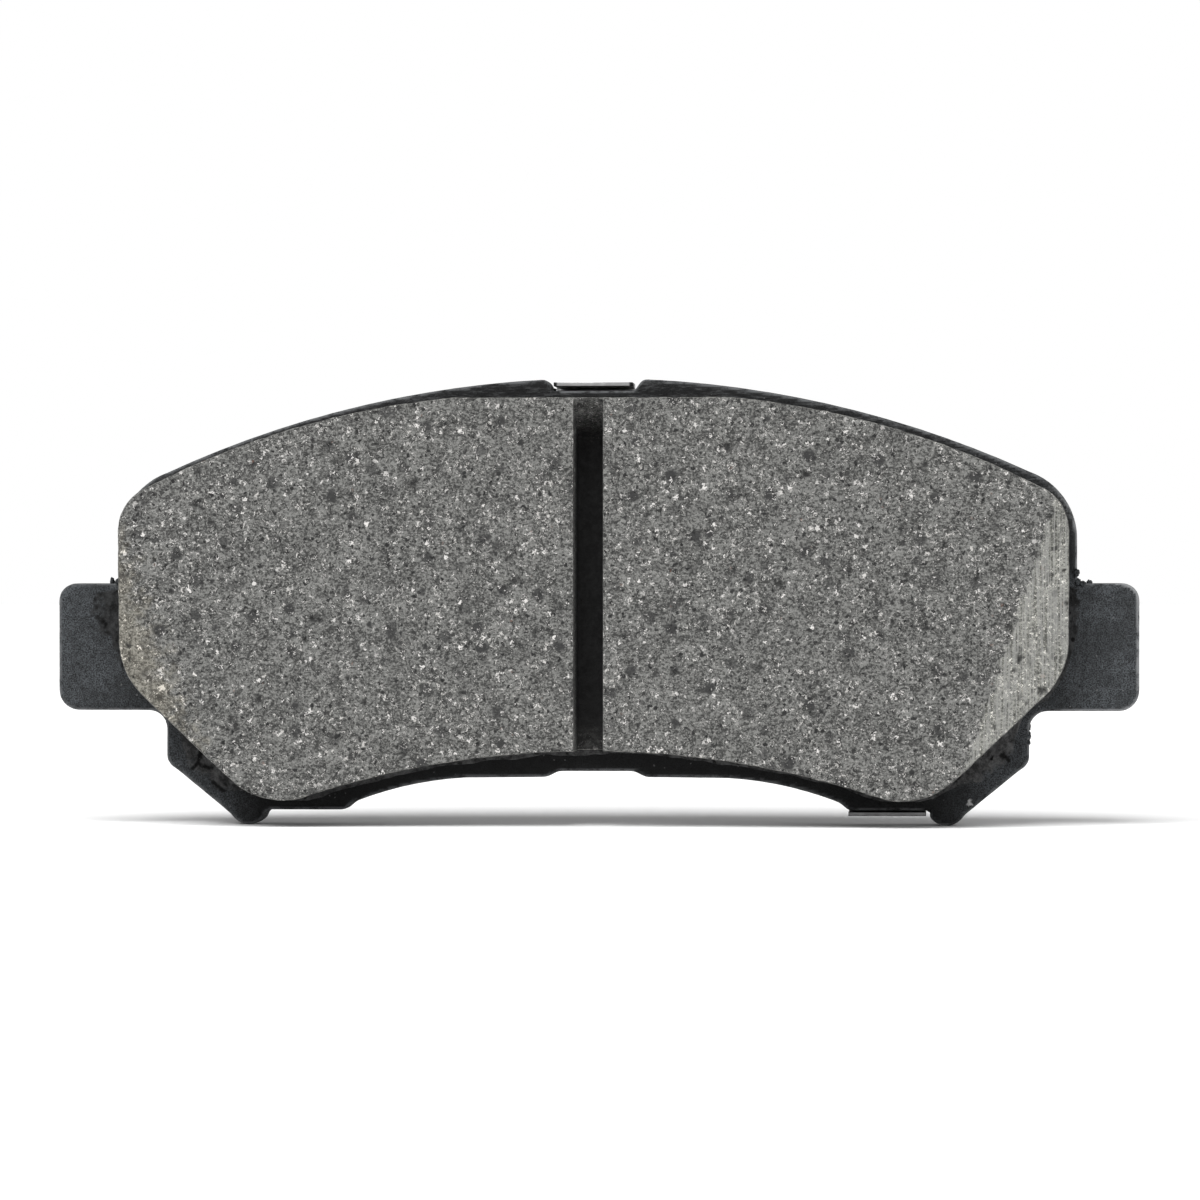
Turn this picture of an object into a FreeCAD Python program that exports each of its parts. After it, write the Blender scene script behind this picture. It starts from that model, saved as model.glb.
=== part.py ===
import FreeCAD, Part
import math
import os

from FreeCAD import Vector

# Front disc brake pad, standing upright as seen from the disc.
# X runs across the pad along the disc's tangent, Z is radially outward, and Y is the disc's axis.
# The friction face looks toward -Y. The origin is the centre of the piston contact, on the rear
# face of the shim cover, so the whole pad lies at Y <= 0. All sizes are in millimetres.

# ---------------------------------------------------------------- driving dimensions
EAR_SPAN = 137.5            # over both guide ears
COVER_T = 0.5               # stainless shim cover
GREASE_GAP = 0.05           # lubricant film between the cover and the damping shim
RUBBER_T = 0.1              # each rubber coat of the damping shim
SHIM_CORE_T = 0.5           # steel core of the damping shim
SHIM_FILM_T = 0.05          # pressure-sensitive adhesive that holds the shim on the plate
PLATE_T = 5.5               # steel backing plate
FILM_T = 0.15               # cured phenolic adhesive under the friction material
UNDERLAYER_T = 2.0          # soft, tough layer moulded under the lining
LINING_T = 8.1              # wearing friction material

# Backing plate outline, right half (the left half is its mirror image)
TOP_R = 132.0               # outer arc of the plate
TOP_CENTRE_Z = -105.1       # centre of that arc
SHOULDER_X = 54.9           # where the arc ends and the shoulder starts
FLANK_X = 60.9              # side of the plate above the ear
EAR_TOP_Z = 0.83
EAR_BOTTOM_Z = -15.35
EAR_TOP_R = 2.2
EAR_BOTTOM_R = 2.6
WEB_X = 54.87               # side of the plate below the ear
WEB_FILLET_R = 2.3
LOBE_X = 42.3               # inner side of the lowest lobe
RECESS_Z = -28.0            # flat over which the lower tab of the cover hooks
CENTRE_FLAT_Z = -23.04      # middle of the lower edge
PLATE_EDGE_R = 0.6          # die roll along the front edge

# Notch in the top edge for the cover's upper tab; its left wall is the steeper one
NOTCH_FLOOR_Z = 25.3
NOTCH_MOUTH_Z = 26.65
NOTCH_FLOOR_X = (-5.5, 4.87)
NOTCH_MOUTH_X = (-5.95, 5.8)
NOTCH_MOUTH_R = 1.2         # rounding of the two shoulders beside the mouth

# Friction lining
LINING_TOP_Z = 24.15
LINING_TOP_HALF = 17.5
LINING_SIDE_X = 59.75
LINING_BOTTOM_R = 115.0
LINING_BOTTOM_Z = -20.33
DRAFT_INSET = 0.15          # each side wall leans in by this much over the lining's height
EDGE_BREAK = 0.25           # small bevel round the friction face

SLOT_X = -0.45              # expansion and dust slot
SLOT_W = 3.6
SLOT_DEPTH = 7.4
SLOT_DRAFT = 0.12           # each wall leans in by this much at the floor
SLOT_RAMP_LOW_Z = 19.4      # the floor starts to climb here
SLOT_RAMP_TOP_Z = 23.7      # and reaches the friction face here

# Leading and trailing chamfers: a point on the line where each one meets the friction face,
# the lean of that line from vertical, and how steeply the chamfer falls away
RIGHT_CHAMFER = {"x": 51.9, "z": -6.5, "lean": 18.9, "slope": 18.0}
LEFT_CHAMFER = {"x": -54.0, "z": -6.8, "lean": -21.0, "slope": 11.0}

# Keying holes of the plate, filled by the underlayer, and half-sheared locating pips
KEY_HOLE_R = 5.0
KEY_HOLES = [(-40.0, 2.5), (-14.5, -4.0), (14.5, -4.0), (40.0, 2.5)]
KEY_PLUG_SHORT = 0.6        # the plugs stop this far short of the plate's rear face
PIP_R = 2.5
PIP_HEIGHT = 1.05
PIPS = [(-38.0, -12.0), (38.0, -12.0)]

# Shim cover and its tabs
COVER_PLAY = 0.2            # sideways float each way
COVER_BEND_R = 0.4          # inner bend radius of each tab
TOP_TAB_X = (NOTCH_FLOOR_X[0] + 0.3 - COVER_PLAY, NOTCH_FLOOR_X[1] - COVER_PLAY)
TOP_TAB_Z = 26.35           # outer face of the upper tab
LOW_TAB_X = (32.0, 41.85)
LOW_TAB_Z = -28.65          # outer face of the lower tab
TAB_END_SHORT = 0.3         # the tabs stop this far behind the plate's front face
PIP_CLEARANCE = 0.55        # radial clearance of the cover's holes round the pips
WINDOW_SIZE = (10.0, 4.0)   # grease windows
WINDOWS = [(-14.0, 12.5), (14.0, 12.5), (-14.0, -12.5), (14.0, -12.5)]

# ---------------------------------------------------------------- levels along Y
COVER_FRONT_Y = -COVER_T
SHIM_REAR_Y = COVER_FRONT_Y - GREASE_GAP
CORE_REAR_Y = SHIM_REAR_Y - RUBBER_T
CORE_FRONT_Y = CORE_REAR_Y - SHIM_CORE_T
SHIM_FRONT_Y = CORE_FRONT_Y - RUBBER_T
PLATE_REAR_Y = SHIM_FRONT_Y - SHIM_FILM_T
PLATE_FRONT_Y = PLATE_REAR_Y - PLATE_T
FILM_FRONT_Y = PLATE_FRONT_Y - FILM_T
UNDERLAYER_FRONT_Y = FILM_FRONT_Y - UNDERLAYER_T
FRICTION_Y = UNDERLAYER_FRONT_Y - LINING_T

BEYOND = 5.0                # how far cutting tools reach past what they cut


class Outline:
    """A chain of lines and three-point arcs in the XZ plane."""

    def __init__(self, x, z):
        self.points = [(x, z)]
        self.mids = []

    def line(self, x, z):
        self.mids.append(None)
        self.points.append((x, z))
        return self

    def arc(self, mid, end):
        self.mids.append(mid)
        self.points.append(end)
        return self

    def corner(self, radius, corner, end):
        """Runs towards a square corner, rounds it with the radius and ends on the way to end."""
        before = self.points[-1]
        start = toward(corner, before, radius)
        stop = toward(corner, end, radius)
        centre = (start[0] + stop[0] - corner[0], start[1] + stop[1] - corner[1])
        mid = toward(centre, corner, radius)
        return self.line(*start).arc(mid, stop)

    def mirrored(self):
        """The same chain reflected in X = 0 and run backwards."""
        other = Outline(-self.points[-1][0], self.points[-1][1])
        for mid, end in zip(reversed(self.mids), reversed(self.points[:-1])):
            if mid:
                other.arc((-mid[0], mid[1]), (-end[0], end[1]))
            else:
                other.line(-end[0], end[1])
        return other

    def edges(self, y):
        made = []
        for start, mid, end in zip(self.points, self.mids, self.points[1:]):
            a = Vector(start[0], y, start[1])
            b = Vector(end[0], y, end[1])
            if a.isEqual(b, 1e-6):
                continue
            if mid:
                made.append(Part.Arc(a, Vector(mid[0], y, mid[1]), b).toShape())
            else:
                made.append(Part.LineSegment(a, b).toShape())
        return made


def toward(start, target, distance):
    """The point a given distance from start on the way to target."""
    length = math.hypot(target[0] - start[0], target[1] - start[1])
    step = distance / length
    return (start[0] + step * (target[0] - start[0]), start[1] + step * (target[1] - start[1]))


def arc_height(radius, centre_z, x):
    """Height at x of an arc about (0, centre_z)."""
    return centre_z + math.sqrt(radius ** 2 - x ** 2)


def closed_wire(chains, y):
    edges = []
    for chain in chains:
        edges += chain.edges(y)
    return Part.Wire(Part.__sortEdges__(edges))


def slab(chains, rear_y, front_y):
    """Solid between two levels, with the closed outline given by the chains."""
    face = Part.Face(closed_wire(chains, rear_y))
    return face.extrude(Vector(0, front_y - rear_y, 0))


def disc(x, z, radius, rear_y, front_y):
    return Part.makeCylinder(radius, rear_y - front_y, Vector(x, front_y, z), Vector(0, 1, 0))


def box(x_range, y_range, z_range):
    size = [high - low for low, high in (x_range, y_range, z_range)]
    return Part.makeBox(*size, Vector(x_range[0], y_range[0], z_range[0]))


def cut_all(body, tools):
    for tool in tools:
        body = body.cut(tool)
    return body


def fuse_all(body, others):
    for other in others:
        body = body.fuse(other)
    return body.removeSplitter()


# ---------------------------------------------------------------- outlines
def plate_half():
    """Right half of the backing plate, from the top centre to the bottom centre."""
    half = EAR_SPAN / 2
    quarter_x = SHOULDER_X / 2
    half_outline = Outline(0, arc_height(TOP_R, TOP_CENTRE_Z, 0))
    half_outline.arc((quarter_x, arc_height(TOP_R, TOP_CENTRE_Z, quarter_x)),
                     (SHOULDER_X, arc_height(TOP_R, TOP_CENTRE_Z, SHOULDER_X)))
    half_outline.arc((59.0, 12.0), (FLANK_X, 7.0))
    half_outline.line(FLANK_X, EAR_TOP_Z)
    half_outline.corner(EAR_TOP_R, (half, EAR_TOP_Z), (half, EAR_BOTTOM_Z))
    half_outline.corner(EAR_BOTTOM_R, (half, EAR_BOTTOM_Z), (WEB_X, EAR_BOTTOM_Z))
    half_outline.corner(WEB_FILLET_R, (WEB_X, EAR_BOTTOM_Z), (WEB_X, CENTRE_FLAT_Z))
    half_outline.line(WEB_X, -21.3)
    half_outline.arc((54.55, -22.1), (53.7, -22.8))
    half_outline.line(46.6, -28.6)
    half_outline.arc((44.2, -29.9), (LOBE_X, -28.8))
    half_outline.line(LOBE_X, RECESS_Z)
    half_outline.line(32.1, RECESS_Z)
    half_outline.line(30.9, -27.0)
    half_outline.arc((24.4, -25.0), (16.75, -23.9))
    half_outline.line(6.3, -23.8)
    half_outline.line(4.83, CENTRE_FLAT_Z)
    half_outline.line(0, CENTRE_FLAT_Z)
    return half_outline


def lining_half(inset):
    """Right half of the friction material's outline, drawn in by the inset."""
    side = LINING_SIDE_X - inset
    top = LINING_TOP_Z - inset
    bottom_centre = LINING_BOTTOM_Z + inset - LINING_BOTTOM_R
    lobe_x = 36.8
    quarter_x = lobe_x / 2
    half_outline = Outline(0, top)
    half_outline.line(LINING_TOP_HALF, top)
    half_outline.arc((36.05, 20.75 - inset), (55.8 - inset, 13.05 - inset))
    half_outline.arc((58.75 - inset, 10.7 - inset), (side, 7.5))
    half_outline.line(side, -6.8)
    half_outline.arc((58.95 - inset, -10.2), (56.9 - inset, -13.2 + inset))
    half_outline.line(45.7 - inset, -23.75 + inset)
    half_outline.arc((41.8 - inset, -26.1 + inset),
                     (lobe_x, arc_height(LINING_BOTTOM_R, bottom_centre, lobe_x)))
    half_outline.arc((quarter_x, arc_height(LINING_BOTTOM_R, bottom_centre, quarter_x)),
                     (0, LINING_BOTTOM_Z + inset))
    return half_outline


def damping_shim_half():
    """Right half of the damping shim, which stays about 1.5 mm inside the plate's edge."""
    radius = TOP_R - 1.6
    shoulder = 53.5
    half_outline = Outline(0, arc_height(radius, TOP_CENTRE_Z, 0))
    half_outline.arc((shoulder / 2, arc_height(radius, TOP_CENTRE_Z, shoulder / 2)),
                     (shoulder, arc_height(radius, TOP_CENTRE_Z, shoulder)))
    half_outline.arc((57.6, 11.0), (59.3, 6.5))
    half_outline.line(59.3, -8.4)
    half_outline.arc((58.5, -11.4), (56.3, -14.0))
    half_outline.line(44.9, -24.9)
    half_outline.arc((41.6, -26.5), (37.5, -26.3))
    half_outline.arc((20.0, -22.7), (0, -21.6))
    return half_outline


def cover_half():
    """Right half of the shim cover's sheet, without its tabs."""
    radius = TOP_R - 2.8
    shoulder = 50.5
    half_outline = Outline(0, arc_height(radius, TOP_CENTRE_Z, 0))
    half_outline.arc((shoulder / 2, arc_height(radius, TOP_CENTRE_Z, shoulder / 2)),
                     (shoulder, arc_height(radius, TOP_CENTRE_Z, shoulder)))
    half_outline.arc((54.9, 9.9), (56.5, 5.5))
    half_outline.line(56.5, -8.0)
    half_outline.arc((55.8, -10.6), (53.9, -12.9))
    half_outline.line(44.4, -22.0)
    half_outline.arc((41.0, -23.7), (37.2, -23.4))
    half_outline.arc((19.5, -20.2), (0, -19.2))
    return half_outline


def mirrored_pair(half_outline):
    return [half_outline, half_outline.mirrored()]


# ---------------------------------------------------------------- pieces
def backing_plate():
    plate = slab(mirrored_pair(plate_half()), PLATE_REAR_Y, PLATE_FRONT_Y)
    reach = (NOTCH_MOUTH_Z + 1.0 - NOTCH_FLOOR_Z) / (NOTCH_MOUTH_Z - NOTCH_FLOOR_Z)
    top_left, top_right = [floor + reach * (mouth - floor)
                           for floor, mouth in zip(NOTCH_FLOOR_X, NOTCH_MOUTH_X)]
    notch = Outline(NOTCH_FLOOR_X[0], NOTCH_FLOOR_Z)
    notch.line(NOTCH_FLOOR_X[1], NOTCH_FLOOR_Z)
    notch.line(top_right, NOTCH_MOUTH_Z + 1.0)
    notch.line(top_left, NOTCH_MOUTH_Z + 1.0)
    notch.line(NOTCH_FLOOR_X[0], NOTCH_FLOOR_Z)
    plate = plate.cut(slab([notch], PLATE_REAR_Y + BEYOND, PLATE_FRONT_Y - BEYOND))
    plate = roll_front_edge(round_notch_mouth(plate))
    for x, z in KEY_HOLES:
        plate = plate.cut(disc(x, z, KEY_HOLE_R, PLATE_REAR_Y + BEYOND, PLATE_FRONT_Y - BEYOND))
    for x, z in PIPS:
        plate = plate.fuse(disc(x, z, PIP_R, PLATE_REAR_Y + PIP_HEIGHT, PLATE_REAR_Y - 1.0))
        plate = plate.cut(disc(x, z, PIP_R, PLATE_FRONT_Y + PIP_HEIGHT, PLATE_FRONT_Y - BEYOND))
    return plate.removeSplitter()


def round_notch_mouth(plate):
    """Rounds the edges where the notch's side walls meet the plate's top edge."""
    shoulders = []
    for edge in plate.Edges:
        middle = edge.valueAt((edge.FirstParameter + edge.LastParameter) / 2)
        beside_mouth = min(abs(middle.x - x) for x in NOTCH_MOUTH_X) < NOTCH_MOUTH_R / 2
        if beside_mouth and middle.z > NOTCH_MOUTH_Z and abs(edge.Length - PLATE_T) < 1e-6:
            shoulders.append(edge)
    return plate.makeFillet(NOTCH_MOUTH_R, shoulders)


def roll_front_edge(plate):
    """Rounds the outer edge of the plate's front face."""
    front = []
    for edge in plate.Edges:
        middle = edge.valueAt((edge.FirstParameter + edge.LastParameter) / 2)
        ends = [vertex.Point.y for vertex in edge.Vertexes]
        level = max(abs(y - PLATE_FRONT_Y) for y in ends + [middle.y])
        if level < 1e-6:
            front.append(edge)
    return plate.makeFillet(PLATE_EDGE_R, front)


def key_plugs():
    """Underlayer material that fills the plate's keying holes and the backs of its pips."""
    plugs = []
    for x, z in KEY_HOLES:
        plugs.append(disc(x, z, KEY_HOLE_R, PLATE_REAR_Y - KEY_PLUG_SHORT, FILM_FRONT_Y))
    for x, z in PIPS:
        plugs.append(disc(x, z, PIP_R, PLATE_FRONT_Y + PIP_HEIGHT, FILM_FRONT_Y))
    return plugs


def adhesive_film():
    film = slab(mirrored_pair(lining_half(0)), PLATE_FRONT_Y, FILM_FRONT_Y)
    holes = [disc(x, z, KEY_HOLE_R, PLATE_FRONT_Y + 1, FILM_FRONT_Y - 1) for x, z in KEY_HOLES]
    holes += [disc(x, z, PIP_R, PLATE_FRONT_Y + 1, FILM_FRONT_Y - 1) for x, z in PIPS]
    return cut_all(film, holes)


def underlayer():
    layer = slab(mirrored_pair(lining_half(0)), FILM_FRONT_Y, UNDERLAYER_FRONT_Y)
    return fuse_all(layer, key_plugs())


def slot_tool():
    """Wedge-shaped slot whose floor climbs to the friction face near its upper end."""
    floor_y = FRICTION_Y + SLOT_DEPTH
    low_z = LINING_BOTTOM_Z - BEYOND
    outside_y = FRICTION_Y - 1.0
    profile = [(floor_y, low_z), (floor_y, SLOT_RAMP_LOW_Z), (FRICTION_Y, SLOT_RAMP_TOP_Z),
               (outside_y, SLOT_RAMP_TOP_Z), (outside_y, low_z)]
    points = [Vector(SLOT_X - SLOT_W, y, z) for y, z in profile]
    side = Part.Face(Part.makePolygon(points + points[:1]))
    tool = side.extrude(Vector(2 * SLOT_W, 0, 0))
    mouth = SLOT_W / 2 + SLOT_DRAFT / SLOT_DEPTH
    floor = SLOT_W / 2 - SLOT_DRAFT
    corners = [(-mouth, outside_y), (mouth, outside_y), (floor, floor_y), (-floor, floor_y)]
    points = [Vector(SLOT_X + x, y, low_z) for x, y in corners]
    section = Part.Face(Part.makePolygon(points + points[:1]))
    return tool.common(section.extrude(Vector(0, 0, 2 * EAR_SPAN)))


def chamfer_tool(chamfer, side):
    """Block whose inclined face is the chamfer; side is +1 at the right end, -1 at the left."""
    reach = EAR_SPAN
    slope = math.radians(chamfer["slope"])
    block = Part.makeBox(reach, reach, 2 * reach, Vector(0, -reach, -reach))
    if side < 0:
        block.translate(Vector(-reach, 0, 0))
    block.rotate(Vector(0, 0, 0), Vector(0, 0, 1), math.degrees(side * slope))
    block.rotate(Vector(0, 0, 0), Vector(0, 1, 0), chamfer["lean"])
    block.translate(Vector(chamfer["x"], FRICTION_Y, chamfer["z"]))
    return block


def friction_lining():
    """Block moulded with a slight draft, a broken edge, the slot and both ground chamfers."""
    base = closed_wire(mirrored_pair(lining_half(0)), UNDERLAYER_FRONT_Y)
    shoulder = closed_wire(mirrored_pair(lining_half(DRAFT_INSET)), FRICTION_Y + EDGE_BREAK)
    block = Part.makeLoft([base, shoulder], True, True)
    rim = closed_wire(mirrored_pair(lining_half(DRAFT_INSET + EDGE_BREAK)), FRICTION_Y)
    block = block.fuse(Part.makeLoft([shoulder, rim], True, True))
    tools = [slot_tool(), chamfer_tool(RIGHT_CHAMFER, 1), chamfer_tool(LEFT_CHAMFER, -1)]
    return cut_all(block, tools)


def damping_shim_layer(rear_y, front_y):
    layer = slab(mirrored_pair(damping_shim_half()), rear_y, front_y)
    holes = [disc(x, z, PIP_R + 0.2, rear_y + 1, front_y - 1) for x, z in PIPS]
    return cut_all(layer, holes)


def window_tool(x, z):
    """Round-ended window, longer along X."""
    length, width = WINDOW_SIZE
    straight = (length - width) / 2
    middle = box((x - straight, x + straight), (COVER_FRONT_Y - 1, 1), (z - width / 2, z + width / 2))
    ends = [disc(x + shift, z, width / 2, 1, COVER_FRONT_Y - 1) for shift in (-straight, straight)]
    return fuse_all(middle, ends)


def cover_tab(x_range, root_z, outer_z, up):
    """Strip of sheet that leaves the cover at root_z, bends forward and hooks over the plate.

    up is +1 for the upper tab and -1 for the lower one, and outer_z is its outside face.
    """
    outer_r = COVER_BEND_R + COVER_T
    end_y = PLATE_FRONT_Y + TAB_END_SHORT
    bend_z = outer_z - up * outer_r
    inner_z = outer_z - up * COVER_T
    diagonal = math.sqrt(0.5)
    bend_y = -outer_r
    x = x_range[0]

    def point(y, z):
        return Vector(x, y, z)

    def arc(radius, start, end):
        middle = point(bend_y + diagonal * radius, bend_z + up * diagonal * radius)
        return Part.Arc(start, middle, end).toShape()

    corners = [point(0, root_z), point(0, bend_z), point(bend_y, outer_z), point(end_y, outer_z),
               point(end_y, inner_z), point(bend_y, inner_z), point(COVER_FRONT_Y, bend_z),
               point(COVER_FRONT_Y, root_z)]
    edges = [Part.LineSegment(corners[0], corners[1]).toShape(),
             arc(outer_r, corners[1], corners[2]),
             Part.LineSegment(corners[2], corners[3]).toShape(),
             Part.LineSegment(corners[3], corners[4]).toShape(),
             Part.LineSegment(corners[4], corners[5]).toShape(),
             arc(COVER_BEND_R, corners[5], corners[6]),
             Part.LineSegment(corners[6], corners[7]).toShape(),
             Part.LineSegment(corners[7], corners[0]).toShape()]
    section = Part.Face(Part.Wire(edges))
    return section.extrude(Vector(x_range[1] - x_range[0], 0, 0))


def shim_cover():
    sheet = slab(mirrored_pair(cover_half()), 0, COVER_FRONT_Y)
    tabs = [cover_tab(TOP_TAB_X, 20.0, TOP_TAB_Z, 1),
            cover_tab(LOW_TAB_X, -20.0, LOW_TAB_Z, -1)]
    sheet = fuse_all(sheet, tabs)
    holes = [window_tool(x, z) for x, z in WINDOWS]
    holes += [disc(x, z, PIP_R + PIP_CLEARANCE, 1, COVER_FRONT_Y - 1) for x, z in PIPS]
    return cut_all(sheet, holes)


def main():
    pieces = {
        "backing_plate": backing_plate(),
        "adhesive_film": adhesive_film(),
        "underlayer": underlayer(),
        "friction_lining": friction_lining(),
        "shim_adhesive_film": damping_shim_layer(PLATE_REAR_Y + SHIM_FILM_T, PLATE_REAR_Y),
        "damping_shim_front_rubber": damping_shim_layer(CORE_FRONT_Y, SHIM_FRONT_Y),
        "damping_shim_core": damping_shim_layer(CORE_REAR_Y, CORE_FRONT_Y),
        "damping_shim_rear_rubber": damping_shim_layer(SHIM_REAR_Y, CORE_REAR_Y),
        "shim_cover": shim_cover(),
    }
    os.makedirs("parts", exist_ok=True)
    for name, shape in pieces.items():
        shape.exportStep("parts/" + name + ".step")
        limits = shape.BoundBox
        print(name, "valid", shape.isValid(), "solids", len(shape.Solids),
              "volume %.1f" % shape.Volume,
              "X %.2f %.2f Y %.2f %.2f Z %.2f %.2f" % (limits.XMin, limits.XMax, limits.YMin,
                                                       limits.YMax, limits.ZMin, limits.ZMax))


main()
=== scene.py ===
import math

import bmesh
import bpy
import numpy as np
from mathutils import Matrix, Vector, noise
from mathutils.bvhtree import BVHTree


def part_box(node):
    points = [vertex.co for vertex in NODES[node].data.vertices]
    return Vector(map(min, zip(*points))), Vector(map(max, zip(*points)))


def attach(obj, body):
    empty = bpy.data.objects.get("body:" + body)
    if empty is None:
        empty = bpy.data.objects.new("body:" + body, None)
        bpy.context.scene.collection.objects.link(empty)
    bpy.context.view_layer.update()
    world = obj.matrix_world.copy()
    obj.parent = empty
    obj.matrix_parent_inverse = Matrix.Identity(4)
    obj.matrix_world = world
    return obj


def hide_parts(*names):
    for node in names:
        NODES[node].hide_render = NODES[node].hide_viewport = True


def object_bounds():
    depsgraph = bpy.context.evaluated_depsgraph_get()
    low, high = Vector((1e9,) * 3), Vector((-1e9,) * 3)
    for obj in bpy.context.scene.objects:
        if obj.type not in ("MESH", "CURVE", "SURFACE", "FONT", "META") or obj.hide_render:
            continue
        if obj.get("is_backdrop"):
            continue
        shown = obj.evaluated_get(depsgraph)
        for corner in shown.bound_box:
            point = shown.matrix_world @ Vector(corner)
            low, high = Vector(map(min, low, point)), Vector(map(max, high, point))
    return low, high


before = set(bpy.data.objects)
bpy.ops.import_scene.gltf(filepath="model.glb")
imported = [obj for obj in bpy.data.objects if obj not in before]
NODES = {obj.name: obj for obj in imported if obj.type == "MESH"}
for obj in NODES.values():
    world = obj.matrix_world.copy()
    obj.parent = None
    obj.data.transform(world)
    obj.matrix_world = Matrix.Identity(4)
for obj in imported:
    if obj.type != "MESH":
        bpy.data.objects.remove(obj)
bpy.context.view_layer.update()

MM = 0.001

PLATE_LOW, PLATE_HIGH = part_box("backing_plate")
LINING_LOW, LINING_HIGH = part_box("friction_lining")
FILM_LOW, FILM_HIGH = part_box("adhesive_film")
FRICTION_Y = LINING_LOW.y
UNDERLAYER_FRONT_Y = LINING_HIGH.y
FILM_FRONT_Y = FILM_LOW.y
PLATE_FRONT_Y = FILM_HIGH.y

WELD_DISTANCE = 0.001 * MM      # vertices closer than this are one
RIM_INSET = 0.22 * MM           # the lining's front rim lies this far inside its foot
PROBE_INSET = 0.40 * MM         # clear of the lining's drafted side walls
SLOT_WALL = 0.13 * MM           # each wall of the slot, as seen from the front
PAINT_CLEARANCE = 0.03 * MM     # gap kept for paint between the plate and the cover's tabs
PLATE_VOXEL = 0.38 * MM         # size of the plate's remeshed facets
COVER_EDGE = 0.07 * MM          # broken edge of the cover's sheet


def tab_sides(high):
    """X in millimetres of the two sides of the cover's upper or lower tab."""
    xs = [v.co.x / MM for v in NODES["shim_cover"].data.vertices
          if v.co.y < PLATE_HIGH.y - 1 * MM and (v.co.z > 0) == high]
    return min(xs), max(xs)


TOP_TAB = tab_sides(True)
LOWER_TAB = tab_sides(False)
# where paint is knocked off the front edge of the right web, in millimetres
BARE_NICK = (47.3, PLATE_FRONT_Y / MM, -27.0)


# ---------------------------------------------------------------- small helpers
def fractal(x, y, z, octaves, gain):
    """Sum of noise octaves; each octave is half the size and has the gain's share of strength."""
    total = 0.0
    size = 1.0
    for octave in range(octaves):
        step = 2.0 ** octave
        total += size * noise.noise(Vector((x * step + 17.3 * octave, y * step, z * step)))
        size *= gain
    return total


def layer_noise(x, z, scale, layer, octaves, gain):
    """Noise over the XZ plane at a point in metres; the layer picks one of its patterns."""
    return fractal(x / MM * scale, layer, z / MM * scale, octaves, gain)


def smooth_step(value, low, high):
    t = np.clip((value - low) / (high - low), 0.0, 1.0)
    return t * t * (3 - 2 * t)


def add_to_scene(name, data):
    """A new object in the scene with this mesh, light or camera."""
    piece = bpy.data.objects.new(name, data)
    bpy.context.scene.collection.objects.link(piece)
    return piece


def make_object(name, vertices, faces, body, smooth_angle):
    """A closed piece on a body, shaded smooth except at edges sharper than the angle in degrees."""
    mesh = bpy.data.meshes.new(name)
    mesh.from_pydata([tuple(v) for v in vertices], [], faces)
    mesh.update()
    solid = bmesh.new()
    solid.from_mesh(mesh)
    bmesh.ops.recalc_face_normals(solid, faces=solid.faces)
    solid.to_mesh(mesh)
    solid.free()
    mesh.shade_smooth()
    mesh.set_sharp_from_angle(angle=math.radians(smooth_angle))
    piece = add_to_scene(name, mesh)
    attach(piece, body)
    return piece


def strip(first, second):
    """Quads between two closed rings of vertex numbers of the same length."""
    turned = list(zip(first, second))
    return [(a, b, next_b, next_a) for (a, b), (next_a, next_b) in zip(turned, turned[1:] + turned[:1])]


def set_material(piece, material):
    piece.data.materials.clear()
    piece.data.materials.append(material)


def float_attribute(piece, name, values):
    layer = piece.data.attributes.new(name, "FLOAT", "POINT")
    layer.data.foreach_set("value", np.asarray(values, dtype=np.float32))


# ---------------------------------------------------------------- outlines read from the frame
def outline_at(node, y):
    """The longest closed outline of a CAD node's flat face at that level, as (x, z) points."""
    mesh = NODES[node].data
    weld = 0.002 * MM
    places = {}
    ids = []
    for vertex in mesh.vertices:
        key = tuple(round(c / weld) for c in vertex.co)
        ids.append(places.setdefault(key, len(places)))
    points = np.zeros((len(places), 3))
    for vertex, place in zip(mesh.vertices, ids):
        points[place] = vertex.co
    directed = {}
    for polygon in mesh.polygons:
        ring = [ids[i] for i in polygon.vertices]
        if max(abs(points[i][1] - y) for i in ring) > 2 * weld:
            continue
        directed.update(dict.fromkeys(zip(ring, ring[1:] + ring[:1])))
    border = {a: b for a, b in directed if (b, a) not in directed}
    loops = []
    while border:
        start, here = border.popitem()
        loop = [start, here]
        while here in border:
            here = border.pop(here)
            loop.append(here)
        loops.append(points[loop[:-1]][:, [0, 2]])
    return max(loops, key=lambda loop: np.abs(np.diff(loop, axis=0)).sum())


def signed_area(outline):
    """Twice the area inside, positive when the outline runs anticlockwise as seen from the front."""
    ahead = np.roll(outline, -1, axis=0)
    return np.sum(outline[:, 0] * ahead[:, 1] - outline[:, 1] * ahead[:, 0])


def inset(outline, distance):
    """The outline moved inwards by a small distance."""
    ahead = np.roll(outline, -1, axis=0) - outline
    behind = outline - np.roll(outline, 1, axis=0)
    ahead /= np.linalg.norm(ahead, axis=1, keepdims=True)
    behind /= np.linalg.norm(behind, axis=1, keepdims=True)
    along = ahead + behind
    along /= np.linalg.norm(along, axis=1, keepdims=True)
    normal = np.stack([-along[:, 1], along[:, 0]], axis=1)
    return outline + normal * distance * (1 if signed_area(outline) > 0 else -1)


def heights_at(outline, xs):
    """Lowest and highest z of an outline at each x."""
    ends = np.roll(outline, -1, axis=0)
    low = np.full(len(xs), np.inf)
    high = np.full(len(xs), -np.inf)
    for (x0, z0), (x1, z1) in zip(outline, ends):
        if abs(x1 - x0) < 1e-9:
            continue
        inside = (xs >= min(x0, x1)) & (xs <= max(x0, x1))
        z = z0 + (xs - x0) * (z1 - z0) / (x1 - x0)
        low = np.where(inside, np.minimum(low, z), low)
        high = np.where(inside, np.maximum(high, z), high)
    return low, high


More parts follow.
